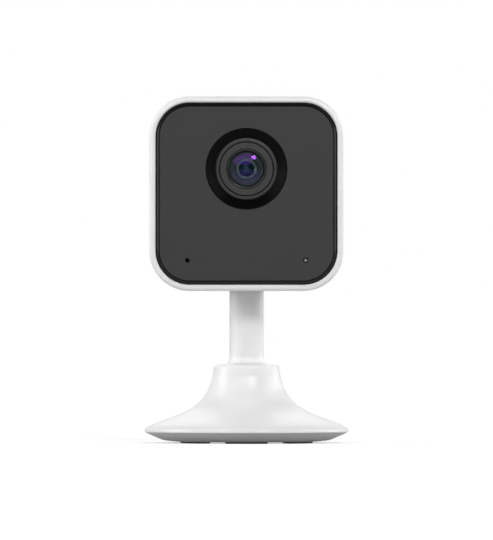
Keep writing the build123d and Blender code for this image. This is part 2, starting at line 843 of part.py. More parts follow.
trim_outer = surround_throat - slip / 2
with BuildPart() as lens_trim_ring:
    add(spun([
        (trim_inner, face_y), (trim_inner, trim_seat_y), (trim_outer, trim_seat_y), (trim_outer, face_y),
    ], lens_z))
    fillet(lens_trim_ring.faces().sort_by(Axis.Y)[0].outer_wire().edges(),
           trim_round_share * (trim_outer - trim_inner))
finish(lens_trim_ring.part, "lens_trim_ring")

barrel_neck_y = face_y + barrel_head_length
barrel_end_y = barrel_neck_y + barrel_length
crown_y = face_y + front_glass_sink
ledge_y = crown_y + front_glass_edge
baffle_seat_y = ledge_y + baffle_flange
finish(spun([
    (mouth_radius + mouth_bevel, face_y), (barrel_head_radius, face_y), (barrel_head_radius, barrel_neck_y),
    (barrel_radius, barrel_neck_y), (barrel_radius, barrel_end_y), (barrel_bore, barrel_end_y),
    (barrel_bore, baffle_seat_y), (mouth_radius, baffle_seat_y), (mouth_radius, face_y + mouth_bevel),
], lens_z), "lens_barrel")


def sag(curve, radius):
    """Depth of a spherical face of the given curvature at a radius."""
    return curve - sqrt(curve ** 2 - radius ** 2)


with BuildPart() as lens_front_glass:
    hollow_y = crown_y + front_glass_thick
    shoulder_y = crown_y + sag(front_glass_curve, front_glass_radius)
    hollow_radius = sqrt(front_glass_hollow ** 2 - (front_glass_hollow - (ledge_y - hollow_y)) ** 2)
    with BuildSketch(Plane.XY.offset(lens_z)):
        with BuildLine():
            RadiusArc((0, crown_y), (front_glass_radius, shoulder_y), -front_glass_curve)
            Polyline((front_glass_radius, shoulder_y), (front_glass_radius, ledge_y), (hollow_radius, ledge_y))
            RadiusArc((hollow_radius, ledge_y), (0, hollow_y), front_glass_hollow)
            Line((0, hollow_y), (0, crown_y))
        make_face()
    revolve(axis=Axis((0, 0, lens_z), (0, 1, 0)))
finish(lens_front_glass.part, "lens_front_glass")

with BuildPart() as lens_front_ring:
    ring_edge = mouth_radius - slip
    ring_seat_y = crown_y + sag(front_glass_curve, front_ring_bore)
    with BuildSketch(Plane.XY.offset(lens_z)):
        with BuildLine():
            RadiusArc((ring_edge, face_y + front_ring_sink),
                      (front_ring_bore, face_y + front_ring_sink + front_ring_dip), front_ring_round)
            Polyline((front_ring_bore, face_y + front_ring_sink + front_ring_dip),
                     (front_ring_bore, ring_seat_y), (ring_edge, ring_seat_y),
                     (ring_edge, face_y + front_ring_sink))
        make_face()
    revolve(axis=Axis((0, 0, lens_z), (0, 1, 0)))
finish(lens_front_ring.part, "lens_front_ring")

baffle_y = ledge_y + baffle_thick
finish(spun([
    (baffle_bore + baffle_mouth_run, ledge_y), (mouth_radius - slip, ledge_y),
    (mouth_radius - slip, baffle_seat_y), (inner_glass_radius, baffle_seat_y),
    (inner_glass_radius, baffle_y), (baffle_bore, baffle_y), (baffle_bore, ledge_y + baffle_mouth_depth),
], lens_z), "lens_baffle")

middle_dome_radius = baffle_bore - slip
middle_crown_y = baffle_y - sag(middle_glass_curve, middle_dome_radius)
middle_back_y = baffle_y + middle_glass_edge
with BuildPart() as lens_middle_glass:
    with BuildSketch(Plane.XY.offset(lens_z)):
        with BuildLine():
            RadiusArc((0, middle_crown_y), (middle_dome_radius, baffle_y), -middle_glass_curve)
            Polyline((middle_dome_radius, baffle_y), (inner_glass_radius, baffle_y),
                     (inner_glass_radius, middle_back_y), (0, middle_back_y), (0, middle_crown_y))
        make_face()
    revolve(axis=Axis((0, 0, lens_z), (0, 1, 0)))
finish(lens_middle_glass.part, "lens_middle_glass")

iris_back_y = middle_back_y + iris_thick
finish(spun([
    (iris_hole, middle_back_y), (inner_glass_radius, middle_back_y), (inner_glass_radius, iris_back_y),
    (iris_hole, iris_back_y),
], lens_z), "lens_iris")

spacer_back_y = iris_back_y + spacer_thick
finish(spun([
    (inner_glass_radius - spacer_wall, iris_back_y), (inner_glass_radius, iris_back_y),
    (inner_glass_radius, spacer_back_y), (inner_glass_radius - spacer_wall, spacer_back_y),
], lens_z), "lens_spacer")

rear_edge_y = spacer_back_y + rear_glass_edge
rear_crown_y = rear_edge_y + sag(rear_glass_curve, inner_glass_radius)
with BuildPart() as lens_rear_glass:
    with BuildSketch(Plane.XY.offset(lens_z)):
        with BuildLine():
            Polyline((0, rear_crown_y), (0, spacer_back_y), (inner_glass_radius, spacer_back_y),
                     (inner_glass_radius, rear_edge_y))
            RadiusArc((inner_glass_radius, rear_edge_y), (0, rear_crown_y), -rear_glass_curve)
        make_face()
    revolve(axis=Axis((0, 0, lens_z), (0, 1, 0)))
finish(lens_rear_glass.part, "lens_rear_glass")

ring_bore = inner_glass_radius - rear_ring_wall
ring_y = rear_crown_y - sag(rear_glass_curve, ring_bore)
finish(spun([
    (ring_bore, ring_y), (barrel_bore, ring_y), (barrel_bore, ring_y + rear_ring_thick),
    (ring_bore, ring_y + rear_ring_thick),
], lens_z), "lens_rear_ring")

tower_y = board_y - holder_base - holder_tower
finish(spun([
    (barrel_radius + running, tower_y - lock_ring_thick), (lock_ring_radius, tower_y - lock_ring_thick),
    (lock_ring_radius, tower_y), (barrel_radius + running, tower_y),
], lens_z), "lens_lock_ring")

filter_back_y = board_y - holder_cavity
floor_y = filter_back_y - filter_thick - holder_floor
ear_places = [(side * holder_screw_spread, lens_z) for side in (-1, 1)]
with BuildPart() as lens_holder:
    add(slab(holder_width, holder_width, holder_base, board_y, 0, lens_z, corner=1.0))
    with BuildSketch(facing(board_y)):
        with Locations(*ear_places):
            Circle(holder_ear_radius)
        with Locations((0, lens_z)):
            Rectangle(2 * holder_screw_spread, 2 * holder_ear_radius)
    extrude(amount=holder_ear_thick)
    with BuildSketch(facing(board_y - holder_base)):
        with Locations((0, lens_z)):
            Circle(holder_tower_radius)
    extrude(amount=holder_tower)
    with BuildSketch(facing(floor_y)):
        with Locations((0, lens_z)):
            Circle(barrel_radius + running)
    extrude(amount=holder_base + holder_tower, mode=Mode.SUBTRACT)
    with BuildSketch(facing(board_y)):
        with Locations((0, lens_z)):
            Circle(holder_aperture)
    extrude(amount=holder_base, mode=Mode.SUBTRACT)
    for width, depth in ((filter_width + 2 * slip, holder_cavity + filter_thick),
                         (sensor_width + 2 * sensor_room, holder_cavity)):
        add(slab(width, width, depth, board_y, 0, lens_z), mode=Mode.SUBTRACT)
    with BuildSketch(facing(board_y)):
        with Locations(*ear_places):
            Circle(small_screw_radius)
    extrude(amount=holder_base, mode=Mode.SUBTRACT)
finish(lens_holder.part, "lens_holder")

ear_seats = [Plane(origin=(x, board_y - holder_ear_thick, z), z_dir=(0, 1, 0)) for x, z in ear_places]
finish(screws(ear_seats, small_screw_radius, holder_ear_thick + board_thick, small_screw_head_radius,
              small_screw_head), "holder_screws")

with BuildPart() as infrared_filter:
    add(slab(filter_width, filter_width, filter_thick, filter_back_y, 0, lens_z))
finish(infrared_filter.part, "infrared_filter")

# ================================================================== BOARDS
with BuildPart() as main_board:
    add(slab(board_width, board_height, board_thick, board_rear_y, 0, head_z,
             corner=head_corner - head_wall - board_gap))
    notch_top = pocket_top + pocket_wall + board_gap
    notch_half = pin_half + board_gap
    add(slab(2 * notch_half, 2 * (notch_top - head_bottom), 3 * board_thick, board_rear_y + board_thick,
             0, head_bottom, corner=notch_corner), mode=Mode.SUBTRACT)
    with BuildSketch(facing(board_rear_y)):
        with Locations(*post_places, *ear_places):
            Circle(small_screw_radius)
        with Locations(*low_places):
            Circle(housing_screw_radius + slip)
    extrude(amount=board_thick, mode=Mode.SUBTRACT)
finish(main_board.part, "main_board")

post_seats = [Plane(origin=(x, board_rear_y, z), z_dir=(0, -1, 0)) for x, z in post_places]
finish(screws(post_seats, small_screw_radius, board_thick + post_pilot_depth - 1, small_screw_head_radius,
              small_screw_head), "board_screws")

low_seats = [Plane(origin=(x, rear_y - counterbore_depth, z), z_dir=(0, -1, 0)) for x, z in low_places]
finish(screws(low_seats, housing_screw_radius, housing_screw_length, housing_screw_head_radius,
              housing_screw_head), "housing_screws")

with BuildPart() as image_sensor:
    add(slab(sensor_width, sensor_width, sensor_thick, board_y, 0, lens_z))
finish(image_sensor.part, "image_sensor")

with BuildPart() as sensor_glass:
    add(slab(sensor_glass_width, sensor_glass_width, sensor_glass_thick, board_y - sensor_thick, 0, lens_z))
finish(sensor_glass.part, "sensor_glass")

chip_z = head_z - chip_drop
with BuildPart() as processor:
    add(slab(chip_width, chip_width, chip_thick, board_y, -chip_spread, chip_z))
finish(processor.part, "processor")

with BuildPart() as heat_pad:
    add(slab(chip_width, chip_width, heat_pad_thick, board_y - chip_thick, -chip_spread, chip_z))
finish(heat_pad.part, "heat_pad")

with BuildPart() as heat_sink:
    sink_y = board_y - chip_thick - heat_pad_thick
    add(slab(sink_width, sink_width, sink_plate, sink_y, -chip_spread, chip_z))
    fin_pitch = (sink_width - fin_thick) / (fin_count - 1)
    for k in range(fin_count):
        add(slab(fin_thick, sink_width, fin_height, sink_y - sink_plate,
              -chip_spread + (k - (fin_count - 1) / 2) * fin_pitch, chip_z))
finish(heat_sink.part, "heat_sink")

with BuildPart() as memory_chip:
    add(slab(memory_width, memory_height, memory_thick, board_rear_y + memory_thick, -chip_spread, chip_z))
finish(memory_chip.part, "memory_chip")

with BuildPart() as radio_shield:
    add(slab(shield_width, shield_height, shield_thick, board_y, chip_spread, chip_z))
    fillet(radio_shield.faces().sort_by(Axis.Y)[0].edges(), 0.4)
finish(radio_shield.part, "radio_shield")

with BuildPart() as antenna:
    antenna_z = head_z + board_height / 2 - antenna_height / 2 - 1
    add(slab(antenna_width, antenna_height, antenna_thick, board_y - antenna_reach, 0, antenna_z))
    for x in (-antenna_width / 2 + antenna_leg / 2, -antenna_width / 4):
        add(slab(antenna_leg, antenna_thick, antenna_reach, board_y, x,
              antenna_z - antenna_height / 2 + antenna_thick / 2))
finish(antenna.part, "antenna")

with BuildPart() as front_board:
    front_board_back_y = front_board_y + front_board_thick
    add(slab(front_board_width, front_board_height, front_board_thick, front_board_back_y, 0, port_z,
             corner=front_board_corner))
    with BuildSketch(facing(front_board_back_y)):
        with Locations(*standoff_places):
            Circle(small_screw_radius)
    extrude(amount=front_board_thick, mode=Mode.SUBTRACT)
finish(front_board.part, "front_board")

front_seats = [Plane(origin=(x, front_board_back_y, z), z_dir=(0, -1, 0)) for x, z in standoff_places]
finish(screws(front_seats, small_screw_radius, front_screw_length, small_screw_head_radius,
              small_screw_head), "front_board_screws")

with BuildPart() as infrared_lamps:
    for x in (-ir_led_spread, ir_led_spread):
        add(slab(ir_led_width, ir_led_width, ir_led_thick, front_board_y, x, port_z))
        with BuildSketch(facing(front_board_y - ir_led_thick)):
            with Locations((x, port_z)):
                Circle(ir_led_width * 0.36)
        extrude(amount=ir_dome_height, taper=25)
finish(infrared_lamps.part, "infrared_lamps")

with BuildPart() as light_sensor:
    add(slab(sense_width, sense_width, sense_thick, front_board_y, 0, port_z))
finish(light_sensor.part, "light_sensor")

with BuildPart() as indicator_lamp:
    add(slab(indicator_width, indicator_width, indicator_thick, front_board_y, port_spread, port_z))
finish(indicator_lamp.part, "indicator_lamp")

with BuildPart() as microphone:
    add(slab(mic_width, mic_height, mic_thick, front_board_y, -port_spread, port_z))
finish(microphone.part, "microphone")

with BuildPart() as microphone_boot:
    with BuildSketch(facing(frame_back_y)):
        with Locations((-port_spread, port_z)):
            Circle(mic_height / 2)
            Circle(mic_hole_radius, mode=Mode.SUBTRACT)
    extrude(amount=-(standoff - mic_thick))
finish(microphone_boot.part, "microphone_boot")

# ================================================================== BACK OF THE HEAD
gasket_y = inner_rear_y - gasket_thick
magnet_y = gasket_y - speaker_thick
basket_y = magnet_y + speaker_thick / 2
finish(spun([
    (0, magnet_y), (speaker_magnet_radius, magnet_y), (speaker_magnet_radius, basket_y),
    (speaker_radius, basket_y), (speaker_radius, gasket_y), (speaker_radius - speaker_rim, gasket_y),
    (speaker_radius / 3, gasket_y - speaker_thick / 3), (0, gasket_y - speaker_thick / 5),
], speaker_z), "speaker")

finish(spun([
    (speaker_radius - gasket_width, gasket_y), (speaker_radius, gasket_y),
    (speaker_radius, inner_rear_y), (speaker_radius - gasket_width, inner_rear_y),
], speaker_z), "speaker_gasket")

with BuildPart() as card_socket:
    card_x = board_width / 2 - card_length / 2
    add(slab(card_length, card_width, card_thick, board_rear_y + card_thick, card_x, head_z))
    add(slab(card_length, card_slot, card_slot_height - 2 * slip, card_y + card_slot_height / 2 - slip,
          card_x + card_back, head_z), mode=Mode.SUBTRACT)
finish(card_socket.part, "card_socket")

with BuildPart() as power_inlet:
    inlet_mouth_y = rear_y - inlet_recess_depth - slip
    inlet_floor_y = board_rear_y + inlet_back
    inlet_depth = inlet_mouth_y - inlet_floor_y
    add(slab(inlet_width, inlet_height, inlet_mouth_y - board_rear_y, inlet_mouth_y, inlet_spread, inlet_z,
             corner=inlet_corner))
    add(slab(inlet_width - 2 * inlet_wall, inlet_height - 2 * inlet_wall, inlet_depth, inlet_mouth_y,
             inlet_spread, inlet_z, corner=inlet_corner - inlet_wall), mode=Mode.SUBTRACT)
    add(slab(inlet_width / 2, inlet_tongue, inlet_depth - tongue_sink, inlet_mouth_y - tongue_sink,
             inlet_spread, inlet_z + inlet_tongue / 3))
finish(power_inlet.part, "power_inlet")

plunger_y = board_rear_y + switch_thick + plunger_height
with BuildPart() as reset_switch:
    add(slab(switch_width, switch_width, switch_thick, board_rear_y + switch_thick, -inlet_spread, inlet_z))
    with BuildSketch(facing(plunger_y)):
        with Locations((-inlet_spread, inlet_z)):
            Circle(plunger_radius)
    extrude(amount=plunger_height)
finish(reset_switch.part, "reset_switch")

with BuildPart() as reset_button:
    with BuildSketch(facing(rear_y - button_sink)):
        with Locations((-inlet_spread, inlet_z)):
            Circle(button_radius)
    extrude(amount=rear_y - button_sink - plunger_y - button_travel - seat_gap / 2)
    fillet(reset_button.faces().sort_by(Axis.Y)[-1].edges(), 0.3)
    with BuildSketch(facing(inner_rear_y - button_guide - seat_gap)):
        with Locations((-inlet_spread, inlet_z)):
            Circle(button_flange_radius)
    extrude(amount=button_flange)
finish(reset_button.part, "reset_button")
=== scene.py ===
import math

import bmesh
import bpy
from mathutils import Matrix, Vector


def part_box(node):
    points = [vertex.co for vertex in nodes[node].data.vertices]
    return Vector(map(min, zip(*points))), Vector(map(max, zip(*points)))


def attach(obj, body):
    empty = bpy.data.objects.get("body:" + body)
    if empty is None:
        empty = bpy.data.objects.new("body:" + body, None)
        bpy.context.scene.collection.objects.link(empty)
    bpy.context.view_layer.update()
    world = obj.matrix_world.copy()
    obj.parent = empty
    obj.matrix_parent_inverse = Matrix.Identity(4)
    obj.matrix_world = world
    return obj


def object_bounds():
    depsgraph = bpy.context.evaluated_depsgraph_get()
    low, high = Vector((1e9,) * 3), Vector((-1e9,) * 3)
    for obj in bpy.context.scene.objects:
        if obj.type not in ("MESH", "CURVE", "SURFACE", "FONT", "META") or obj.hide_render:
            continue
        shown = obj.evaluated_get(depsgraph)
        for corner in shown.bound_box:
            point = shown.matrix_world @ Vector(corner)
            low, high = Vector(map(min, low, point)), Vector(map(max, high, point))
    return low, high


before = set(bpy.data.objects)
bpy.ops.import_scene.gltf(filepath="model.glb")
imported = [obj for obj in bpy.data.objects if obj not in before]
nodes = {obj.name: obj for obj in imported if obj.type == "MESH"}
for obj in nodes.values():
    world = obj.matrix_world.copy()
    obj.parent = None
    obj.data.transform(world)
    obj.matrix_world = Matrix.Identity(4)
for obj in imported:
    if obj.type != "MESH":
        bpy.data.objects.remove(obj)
cad_low, cad_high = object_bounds()

# ------------------------------------------------------------------ places read from the model
barrel_low, barrel_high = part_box("lens_barrel")
LENS_HEIGHT = (barrel_low.z + barrel_high.z) / 2
MIDDLE = (cad_low + cad_high) / 2


# ------------------------------------------------------------------ shader nodes
def socket_label(key):
    """Name of a socket from a keyword, such as Thin Film IOR from thin_film_ior."""
    return key.replace("_", " ").title().replace("Ior", "IOR")


def add_node(tree, kind, **values):
    """New node; each value goes to the node's own setting, or else to the input of that name."""
    node = tree.nodes.new(kind)
    for key, value in values.items():
        if hasattr(node, key):
            setattr(node, key, value)
        else:
            node.inputs[socket_label(key)].default_value = value
    return node


def math_node(tree, operation, first, second=0.0, clamp=False):
    """Output of a new math node; each operand is a number or another node's output."""
    node = tree.nodes.new("ShaderNodeMath")
    node.operation, node.use_clamp = operation, clamp
    for index, value in enumerate((first, second)):
        if hasattr(value, "is_output"):
            tree.links.new(value, node.inputs[index])
        else:
            node.inputs[index].default_value = value
    return node.outputs[0]


def object_place(tree):
    """Output with the place on the piece, in metres."""
    return tree.nodes.new("ShaderNodeTexCoord").outputs["Object"]


def split_axes(tree, place):
    """Outputs X, Y and Z of a place or a direction."""
    split = tree.nodes.new("ShaderNodeSeparateXYZ")
    tree.links.new(place, split.inputs["Vector"])
    return split.outputs


# ------------------------------------------------------------------ shader node groups
def new_group(name, inputs, outputs):
    """Empty shader group with named sockets; returns the tree and its two ends."""
    tree = bpy.data.node_groups.new(name, "ShaderNodeTree")
    for label, kind, value in inputs:
        socket = tree.interface.new_socket(name=label, in_out="INPUT", socket_type=kind)
        socket.default_value = value
    for label, kind in outputs:
        tree.interface.new_socket(name=label, in_out="OUTPUT", socket_type=kind)
    return tree, tree.nodes.new("NodeGroupInput"), tree.nodes.new("NodeGroupOutput")


def moulded_grain():
    """Spark-eroded mould texture: tiny pits on uneven ground."""
    tree, ins, outs = new_group(
        "Moulded grain",
        [("Pits Per Metre", "NodeSocketFloat", 4000.0), ("Unevenness", "NodeSocketFloat", 0.4)],
        [("Height", "NodeSocketFloat")],
    )
    place = object_place(tree)
    pits = add_node(tree, "ShaderNodeTexVoronoi", feature="SMOOTH_F1", smoothness=0.8)
    ground = add_node(tree, "ShaderNodeTexNoise", detail=4.0, roughness=0.6)
    for texture in (pits, ground):
        tree.links.new(place, texture.inputs["Vector"])
        tree.links.new(ins.outputs["Pits Per Metre"], texture.inputs["Scale"])
    uneven = math_node(tree, "MULTIPLY", ground.outputs["Fac"], ins.outputs["Unevenness"])
    height = math_node(tree, "ADD", pits.outputs["Distance"], uneven)
    tree.links.new(height, outs.inputs["Height"])
    return tree


def tone_drift():
    """Slow drift of colour over a surface, and finer handling marks in its roughness."""
    tree, ins, outs = new_group(
        "Tone drift",
        [
            ("Colour", "NodeSocketColor", (0.8, 0.8, 0.8, 1)),
            ("Drifted", "NodeSocketColor", (0.78, 0.78, 0.78, 1)),
            ("Patches Per Metre", "NodeSocketFloat", 60.0),
            ("Roughness", "NodeSocketFloat", 0.4),
            ("Roughness Change", "NodeSocketFloat", 0.06),
        ],
        [("Colour", "NodeSocketColor"), ("Roughness", "NodeSocketFloat")],
    )
    smears_per_patch, middle_of_noise = 5.0, 0.5
    place = object_place(tree)
    slow = add_node(tree, "ShaderNodeTexNoise", detail=3.0, roughness=0.5)
    smear = add_node(tree, "ShaderNodeTexNoise", detail=6.0, roughness=0.7, distortion=0.8)
    for texture, factor in ((slow, 1.0), (smear, smears_per_patch)):
        scale = math_node(tree, "MULTIPLY", ins.outputs["Patches Per Metre"], factor)
        tree.links.new(place, texture.inputs["Vector"])
        tree.links.new(scale, texture.inputs["Scale"])
    mix = add_node(tree, "ShaderNodeMix", data_type="RGBA")
    tree.links.new(slow.outputs["Fac"], mix.inputs["Factor"])
    tree.links.new(ins.outputs["Colour"], mix.inputs["A"])
    tree.links.new(ins.outputs["Drifted"], mix.inputs["B"])
    tree.links.new(mix.outputs["Result"], outs.inputs["Colour"])
    offset = math_node(tree, "SUBTRACT", smear.outputs["Fac"], middle_of_noise)
    change = math_node(tree, "MULTIPLY", offset, ins.outputs["Roughness Change"])
    rough = math_node(tree, "ADD", ins.outputs["Roughness"], change, clamp=True)
    tree.links.new(rough, outs.inputs["Roughness"])
    return tree


def turned_rings():
    """Concentric tool marks about the lens axis."""
    tree, ins, outs = new_group(
        "Turned rings",
        [("Pitch", "NodeSocketFloat", 0.0002), ("Centre Height", "NodeSocketFloat", LENS_HEIGHT)],
        [("Height", "NodeSocketFloat")],
    )
    axes = split_axes(tree, object_place(tree))
    up = math_node(tree, "SUBTRACT", axes["Z"], ins.outputs["Centre Height"])
    across_squared = math_node(tree, "POWER", axes["X"], 2.0)
    up_squared = math_node(tree, "POWER", up, 2.0)
    radius = math_node(tree, "SQRT", math_node(tree, "ADD", across_squared, up_squared))
    turns = math_node(tree, "DIVIDE", radius, ins.outputs["Pitch"])
    wave = math_node(tree, "SINE", math_node(tree, "MULTIPLY", turns, 2 * math.pi))
    tree.links.new(wave, outs.inputs["Height"])
    return tree


def brushed_streaks():
    """Fine scratches along one direction, for sheet and turned metal."""
    tree, ins, outs = new_group(
        "Brushed streaks",
        [("Streaks Per Metre", "NodeSocketVector", (40.0, 4000.0, 4000.0))],
        [("Height", "NodeSocketFloat")],
    )
    stretch = add_node(tree, "ShaderNodeVectorMath", operation="MULTIPLY")
    tree.links.new(object_place(tree), stretch.inputs[0])
    tree.links.new(ins.outputs["Streaks Per Metre"], stretch.inputs[1])
    noise = add_node(tree, "ShaderNodeTexNoise", scale=1.0, detail=5.0)
    tree.links.new(stretch.outputs["Vector"], noise.inputs["Vector"])
    tree.links.new(noise.outputs["Fac"], outs.inputs["Height"])
    return tree


GRAIN = moulded_grain()
DRIFT = tone_drift()
RINGS = turned_rings()
STREAKS = brushed_streaks()


# ------------------------------------------------------------------ kinds of material
def start_material(name, **sockets):
    """New material with its Principled shader; constant values are set on the shader's own sockets."""
    material = bpy.data.materials.new(name)
    material.use_nodes = True
    shader = material.node_tree.nodes["Principled BSDF"]
    for key, value in sockets.items():
        shader.inputs[socket_label(key)].default_value = value
    return material, material.node_tree, shader


def place_group(tree, group, **values):
    """Group placed in a material, with its own values."""
    node = add_node(tree, "ShaderNodeGroup", node_tree=group)
    for key, value in values.items():
        node.inputs[socket_label(key)].default_value = value
    return node


def tint(tree, shader, colour, drifted, patches, **values):
    """Drifting colour on the shader; returns the drift group for its roughness."""
    drift = place_group(
        tree, DRIFT, colour=(*colour, 1), drifted=(*drifted, 1), patches_per_metre=patches, **values
    )
    tree.links.new(drift.outputs["Colour"], shader.inputs["Base Color"])
    return drift


def coat(tree, shader, colour, drifted, patches, roughness, change):
    """Drifting colour and roughness on the shader."""
    drift = tint(tree, shader, colour, drifted, patches, roughness=roughness, roughness_change=change)
    tree.links.new(drift.outputs["Roughness"], shader.inputs["Roughness"])


def emboss(tree, shader, height, depth):
    """Bump on the shader, of the given depth in metres."""
    bump = add_node(tree, "ShaderNodeBump", strength=1.0, distance=depth)
    tree.links.new(height, bump.inputs["Height"])
    tree.links.new(bump.outputs["Normal"], shader.inputs["Normal"])


def plastic(name, colour, drifted, roughness, pits, depth, patches=60.0, change=0.08, **sockets):
    """Moulded plastic: drifting tone, its own polish and a fine grain."""
    material, tree, shader = start_material(name, **sockets)
    coat(tree, shader, colour, drifted, patches, roughness, change)
    grain = place_group(tree, GRAIN, pits_per_metre=pits)
    emboss(tree, shader, grain.outputs["Height"], depth)
    return material


def metal(name, colour, drifted, roughness, streaks=(400.0, 6000.0, 6000.0)):
    """Metal with fine streaks."""
    material, tree, shader = start_material(name, metallic=1.0)
    coat(tree, shader, colour, drifted, patches=200.0, roughness=roughness, change=0.12)
    marks = place_group(tree, STREAKS, streaks_per_metre=streaks)
    emboss(tree, shader, marks.outputs["Height"], depth=4e-6)
    return material


def turned(name, colour, roughness, pitch, depth, **sockets):
    """Turned ring with concentric tool marks."""
    drifted_share = 0.88
    drifted = tuple(channel * drifted_share for channel in colour)
    material, tree, shader = start_material(name, **sockets)
    coat(tree, shader, colour, drifted, patches=300.0, roughness=roughness, change=0.08)
    marks = place_group(tree, RINGS, pitch=pitch)
    emboss(tree, shader, marks.outputs["Height"], depth)
    return material


def glass(name, colour, drifted, patches, **sockets):
    """Polished glass with a drifting tint; returns the material, its tree and its shader."""
    material, tree, shader = start_material(name, **sockets)
    tint(tree, shader, colour, drifted, patches)
    return material, tree, shader


def coated_glass():
    """Front glass: a thick coating outside, which glints violet, and a thinner one inside."""
    outer_film, inner_film = 321.0, 252.0       # nanometres
    material, tree, shader = glass(
        "Coated glass", (0.30, 0.42, 0.35), (0.33, 0.41, 0.37), patches=160.0,
        transmission_weight=1.0, ior=1.52, roughness=0.02, thin_film_ior=1.31,
    )
    inside = tree.nodes.new("ShaderNodeNewGeometry").outputs["Backfacing"]
    thinner = math_node(tree, "MULTIPLY", inside, outer_film - inner_film)
    film = math_node(tree, "SUBTRACT", outer_film, thinner)
    tree.links.new(film, shader.inputs["Thin Film Thickness"])
    return material


def solder_mask():
    """Green circuit board with a faint net of tracks."""
    material, tree, shader = start_material("Solder mask", coat_weight=0.3)
    tracks = add_node(
        tree, "ShaderNodeTexBrick", scale=420.0, mortar_size=0.04,
        color1=(0.010, 0.105, 0.045, 1), color2=(0.008, 0.090, 0.040, 1), mortar=(0.018, 0.17, 0.075, 1),
    )
    turn = add_node(tree, "ShaderNodeMapping", rotation=(math.pi / 2, 0, 0))
    tree.links.new(object_place(tree), turn.inputs["Vector"])
    tree.links.new(turn.outputs["Vector"], tracks.inputs["Vector"])
    tree.links.new(tracks.outputs["Color"], shader.inputs["Base Color"])
    drift = place_group(tree, DRIFT, roughness=0.3, roughness_change=0.1)
    tree.links.new(drift.outputs["Roughness"], shader.inputs["Roughness"])
    emboss(tree, shader, tracks.outputs["Fac"], depth=3e-5)
    return material


def speaker_cloth():
    """Black open weave."""
    threads_per_metre = 3200.0
    material, tree, shader = start_material("Speaker cloth", sheen_weight=0.2)
    axes = split_axes(tree, object_place(tree))
    threads = []
    for axis in ("X", "Z"):
        turns = math_node(tree, "MULTIPLY", axes[axis], 2 * math.pi * threads_per_metre)
        threads.append(math_node(tree, "SINE", turns))
    weave = math_node(tree, "MULTIPLY", *threads)
    coat(tree, shader, (0.015, 0.015, 0.016), (0.03, 0.03, 0.032), patches=900.0, roughness=0.8, change=0.1)
    emboss(tree, shader, weave, depth=4e-5)
    return material


# ------------------------------------------------------------------ finishes
# Each gives its colour, the colour that it drifts to, and the depth of its texture in metres.
WHITE = plastic("White plastic", (0.86, 0.86, 0.86), (0.835, 0.835, 0.836),
                roughness=0.34, pits=8000.0, depth=2e-6)
UNDERSIDE = plastic("Grey underside", (0.58, 0.58, 0.585), (0.54, 0.54, 0.545),
                    roughness=0.5, pits=4200.0, depth=1e-5)
GLOSS_BLACK = plastic("Gloss black", (0.003, 0.003, 0.0034), (0.0045, 0.0045, 0.005),
                      roughness=0.16, pits=900.0, depth=6e-7, specular_ior_level=0.3)
CONE_BLACK = plastic("Lens cone black", (0.0018, 0.0018, 0.002), (0.0024, 0.0024, 0.0027),
                     roughness=0.35, pits=900.0, depth=6e-7, specular_ior_level=0.05)
SMOKED = plastic("Smoked panel", (0.036, 0.036, 0.0363), (0.034, 0.034, 0.0343),
                 roughness=0.38, pits=5200.0, depth=2e-6, change=0.05, specular_ior_level=0.3)
MATTE_BLACK = plastic("Matte black", (0.012, 0.012, 0.013), (0.018, 0.018, 0.019),
                      roughness=0.55, pits=3800.0, depth=8e-6)
TRIM_GREY = turned("Satin grey trim", (0.036, 0.036, 0.0363),
                   roughness=0.42, pitch=0.00016, depth=3e-6, specular_ior_level=0.3)
BARREL_FACE = turned("Barrel face", (0.038, 0.038, 0.0383),
                     roughness=0.45, pitch=0.00012, depth=2e-6, specular_ior_level=0.3)
GLOSS_RING = turned("Gloss ring", (0.010, 0.010, 0.011), roughness=0.18, pitch=0.0002, depth=5e-7)
BAFFLE_COATING = turned("Baffle coating", (0.055, 0.068, 0.090), roughness=0.35, pitch=0.0003, depth=2e-6)
BAFFLE_LIP = turned("Baffle lip", (0.92, 0.82, 0.86), roughness=0.3, pitch=0.0003, depth=1e-6)
LENS_INK = plastic("Lens edge ink", (0.118, 0.134, 0.150), (0.078, 0.130, 0.126),
                   roughness=0.4, pits=2500.0, depth=1e-6, patches=240.0)
RUBBER = plastic("Foot rubber", (0.07, 0.07, 0.071), (0.085, 0.085, 0.086),
                 roughness=0.72, pits=2600.0, depth=3e-5, patches=150.0)
FRONT_GLASS = coated_glass()
INNER_GLASS, *_ = glass("Inner glass", (0.08, 0.22, 0.20), (0.06, 0.18, 0.18), patches=200.0,
                        transmission_weight=1.0, ior=1.65, roughness=0.02)
FILTER_GLASS, *_ = glass("Filter glass", (0.25, 0.6, 0.6), (0.3, 0.5, 0.62), patches=300.0,
                         transmission_weight=0.8, ior=1.5, roughness=0.05)
BOARD = solder_mask()
CLOTH = speaker_cloth()
STEEL = metal("Bright steel", (0.60, 0.60, 0.61), (0.52, 0.52, 0.53), roughness=0.28)
ZINC = metal("Zinc plate", (0.55, 0.56, 0.58), (0.62, 0.61, 0.55), roughness=0.36,
             streaks=(3000.0, 3000.0, 3000.0))
ALUMINIUM = metal("Sink aluminium", (0.68, 0.69, 0.70), (0.60, 0.61, 0.62), roughness=0.38)
TINPLATE = metal("Tinplate", (0.64, 0.64, 0.62), (0.56, 0.57, 0.57), roughness=0.30)
BRASS = metal("Insert brass", (0.72, 0.52, 0.22), (0.60, 0.42, 0.17), roughness=0.32)
GOLD = metal("Contact gold", (0.83, 0.62, 0.25), (0.76, 0.55, 0.2), roughness=0.2)
ACETAL = plastic("Natural acetal", (0.72, 0.71, 0.66), (0.68, 0.67, 0.61),
                 roughness=0.35, pits=2600.0, depth=6e-6)
HEAT_PAD = plastic("Heat pad", (0.26, 0.32, 0.38), (0.3, 0.36, 0.4),
                   roughness=0.75, pits=1800.0, depth=3e-5)
